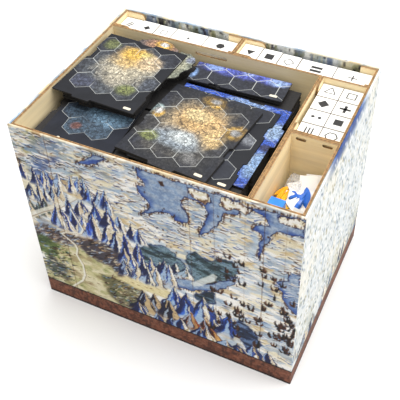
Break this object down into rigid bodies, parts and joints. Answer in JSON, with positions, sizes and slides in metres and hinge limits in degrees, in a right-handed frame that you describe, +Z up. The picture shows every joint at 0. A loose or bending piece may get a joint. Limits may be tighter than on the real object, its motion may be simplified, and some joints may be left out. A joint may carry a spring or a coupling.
{
  "type": "board game box",
  "caption": "Open printed game box with a plywood organizer holding stacked map tiles, tuck boxes of cards and a token bin; every tray, tile and card box lifts out.",
  "frame": {"origin": "middle of the underside of the box", "axes": "+Z up out of the open mouth, -Y towards the printed front, +X towards the side with the token bin"},
  "size_m": [0.42, 0.318, 0.357],
  "materials": {
    "greyboard": "matte grey set-up box board",
    "printed_paper": "matte laminated paper printed with a painted landscape",
    "plywood": "unfinished birch plywood with laser-burnt brown edges",
    "white_card": "smooth white folding carton",
    "map_tile_board": "linen-finish printed punchboard, dark core",
    "blue_plastic": "moulded blue plastic",
    "clear_bag": "thin clear zip bag over tokens and cards"
  },
  "bodies": {
    "box": {"box_floor": "greyboard", "box_front_wall": "greyboard", "box_back_wall": "greyboard", "box_left_wall": "greyboard", "box_right_wall": "greyboard", "printed_wrap": "printed_paper", "tray_riser": "plywood"},
    "tile_bin": {"tile_bin_bottom": "plywood", "tile_bin_front": "plywood", "tile_bin_back": "plywood", "tile_bin_left": "plywood", "tile_bin_right": "plywood"},
    "back_left_tray": {"back_left_tray_bottom": "plywood", "back_left_tray_front": "plywood", "back_left_tray_back": "plywood", "back_left_tray_left": "plywood", "back_left_tray_right": "plywood"},
    "back_right_tray": {"back_right_tray_bottom": "plywood", "back_right_tray_front": "plywood", "back_right_tray_back": "plywood", "back_right_tray_left": "plywood", "back_right_tray_right": "plywood"},
    "side_tray": {"side_tray_bottom": "plywood", "side_tray_front": "plywood", "side_tray_back": "plywood", "side_tray_left": "plywood", "side_tray_right": "plywood"},
    "token_bin": {"token_bin_bottom": "plywood", "token_bin_front": "plywood", "token_bin_back": "plywood", "token_bin_left": "plywood", "token_bin_right": "plywood"},
    "left_card_box_1": {"left_card_box_1": "white_card"},
    "left_card_box_2": {"left_card_box_2": "white_card"},
    "left_card_box_3": {"left_card_box_3": "white_card"},
    "left_card_box_4": {"left_card_box_4": "white_card"},
    "left_card_box_5": {"left_card_box_5": "white_card"},
    "right_card_box_1": {"right_card_box_1": "white_card"},
    "right_card_box_2": {"right_card_box_2": "white_card"},
    "right_card_box_3": {"right_card_box_3": "white_card"},
    "right_card_box_4": {"right_card_box_4": "white_card"},
    "right_card_box_5": {"right_card_box_5": "white_card"},
    "side_card_box_1": {"side_card_box_1": "white_card"},
    "side_card_box_2": {"side_card_box_2": "white_card"},
    "side_card_box_3": {"side_card_box_3": "white_card"},
    "side_card_box_4": {"side_card_box_4": "white_card"},
    "side_card_box_5": {"side_card_box_5": "white_card"},
    "side_card_box_6": {"side_card_box_6": "white_card"},
    "side_card_box_7": {"side_card_box_7": "white_card"},
    "side_card_box_8": {"side_card_box_8": "white_card"},
    "tile_stack": {"tile_stack": "map_tile_board"},
    "lower_left_tile": {"lower_left_tile": "map_tile_board"},
    "left_tile_pile": {"left_tile_pile": "map_tile_board"},
    "top_left_tile": {"top_left_tile": "map_tile_board"},
    "ice_tile": {"ice_tile": "map_tile_board"},
    "slate_tile": {"slate_tile": "map_tile_board"},
    "centre_tile": {"centre_tile": "map_tile_board"},
    "corridor_tiles": {"corridor_tiles": "map_tile_board"},
    "token_case": {"token_case": "blue_plastic"},
    "token_bag": {"token_bag": "clear_bag"}
  },
  "joints": [
    {"name": "tile_bin_lift", "type": "slide", "parent": "box", "child": "tile_bin", "axis": [0, 0, 1], "range_m": [0, 0.36]},
    {"name": "back_left_tray_lift", "type": "slide", "parent": "box", "child": "back_left_tray", "axis": [0, 0, 1], "range_m": [0, 0.12]},
    {"name": "back_right_tray_lift", "type": "slide", "parent": "box", "child": "back_right_tray", "axis": [0, 0, 1], "range_m": [0, 0.12]},
    {"name": "side_tray_lift", "type": "slide", "parent": "box", "child": "side_tray", "axis": [0, 0, 1], "range_m": [0, 0.12]},
    {"name": "token_bin_lift", "type": "slide", "parent": "box", "child": "token_bin", "axis": [0, 0, 1], "range_m": [0, 0.12]},
    {"name": "left_card_box_1_lift", "type": "slide", "parent": "back_left_tray", "child": "left_card_box_1", "axis": [0, 0, 1], "range_m": [0, 0.11]},
    {"name": "left_card_box_2_lift", "type": "slide", "parent": "back_left_tray", "child": "left_card_box_2", "axis": [0, 0, 1], "range_m": [0, 0.11]},
    {"name": "left_card_box_3_lift", "type": "slide", "parent": "back_left_tray", "child": "left_card_box_3", "axis": [0, 0, 1], "range_m": [0, 0.11]},
    {"name": "left_card_box_4_lift", "type": "slide", "parent": "back_left_tray", "child": "left_card_box_4", "axis": [0, 0, 1], "range_m": [0, 0.11]},
    {"name": "left_card_box_5_lift", "type": "slide", "parent": "back_left_tray", "child": "left_card_box_5", "axis": [0, 0, 1], "range_m": [0, 0.11]},
    {"name": "right_card_box_1_lift", "type": "slide", "parent": "back_right_tray", "child": "right_card_box_1", "axis": [0, 0, 1], "range_m": [0, 0.11]},
    {"name": "right_card_box_2_lift", "type": "slide", "parent": "back_right_tray", "child": "right_card_box_2", "axis": [0, 0, 1], "range_m": [0, 0.11]},
    {"name": "right_card_box_3_lift", "type": "slide", "parent": "back_right_tray", "child": "right_card_box_3", "axis": [0, 0, 1], "range_m": [0, 0.11]},
    {"name": "right_card_box_4_lift", "type": "slide", "parent": "back_right_tray", "child": "right_card_box_4", "axis": [0, 0, 1], "range_m": [0, 0.11]},
    {"name": "right_card_box_5_lift", "type": "slide", "parent": "back_right_tray", "child": "right_card_box_5", "axis": [0, 0, 1], "range_m": [0, 0.11]},
    {"name": "side_card_box_1_lift", "type": "slide", "parent": "side_tray", "child": "side_card_box_1", "axis": [0, 0, 1], "range_m": [0, 0.11]},
    {"name": "side_card_box_2_lift", "type": "slide", "parent": "side_tray", "child": "side_card_box_2", "axis": [0, 0, 1], "range_m": [0, 0.11]},
    {"name": "side_card_box_3_lift", "type": "slide", "parent": "side_tray", "child": "side_card_box_3", "axis": [0, 0, 1], "range_m": [0, 0.11]},
    {"name": "side_card_box_4_lift", "type": "slide", "parent": "side_tray", "child": "side_card_box_4", "axis": [0, 0, 1], "range_m": [0, 0.11]},
    {"name": "side_card_box_5_lift", "type": "slide", "parent": "side_tray", "child": "side_card_box_5", "axis": [0, 0, 1], "range_m": [0, 0.11]},
    {"name": "side_card_box_6_lift", "type": "slide", "parent": "side_tray", "child": "side_card_box_6", "axis": [0, 0, 1], "range_m": [0, 0.11]},
    {"name": "side_card_box_7_lift", "type": "slide", "parent": "side_tray", "child": "side_card_box_7", "axis": [0, 0, 1], "range_m": [0, 0.11]},
    {"name": "side_card_box_8_lift", "type": "slide", "parent": "side_tray", "child": "side_card_box_8", "axis": [0, 0, 1], "range_m": [0, 0.11]},
    {"name": "tile_stack_lift", "type": "slide", "parent": "tile_bin", "child": "tile_stack", "axis": [0, 0, 1], "range_m": [0, 0.355]},
    {"name": "lower_left_tile_lift", "type": "slide", "parent": "tile_stack", "child": "lower_left_tile", "axis": [0, 0, 1], "range_m": [0, 0.04]},
    {"name": "left_tile_pile_lift", "type": "slide", "parent": "lower_left_tile", "child": "left_tile_pile", "axis": [0, 0, 1], "range_m": [0, 0.03]},
    {"name": "top_left_tile_lift", "type": "slide", "parent": "left_tile_pile", "child": "top_left_tile", "axis": [0, 0, 1], "range_m": [0, 0.03]},
    {"name": "ice_tile_lift", "type": "slide", "parent": "tile_stack", "child": "ice_tile", "axis": [0, 0, 1], "range_m": [0, 0.04]},
    {"name": "slate_tile_lift", "type": "slide", "parent": "ice_tile", "child": "slate_tile", "axis": [0, 0, 1], "range_m": [0, 0.03]},
    {"name": "centre_tile_lift", "type": "slide", "parent": "slate_tile", "child": "centre_tile", "axis": [0, 0, 1], "range_m": [0, 0.03]},
    {"name": "corridor_tiles_lift", "type": "slide", "parent": "tile_stack", "child": "corridor_tiles", "axis": [0, 0, 1], "range_m": [0, 0.04]},
    {"name": "token_case_lift", "type": "slide", "parent": "token_bin", "child": "token_case", "axis": [0, 0, 1], "range_m": [0, 0.11]},
    {"name": "token_bag_lift", "type": "slide", "parent": "token_bin", "child": "token_bag", "axis": [0, 0, 1], "range_m": [0, 0.11]}
  ]
}
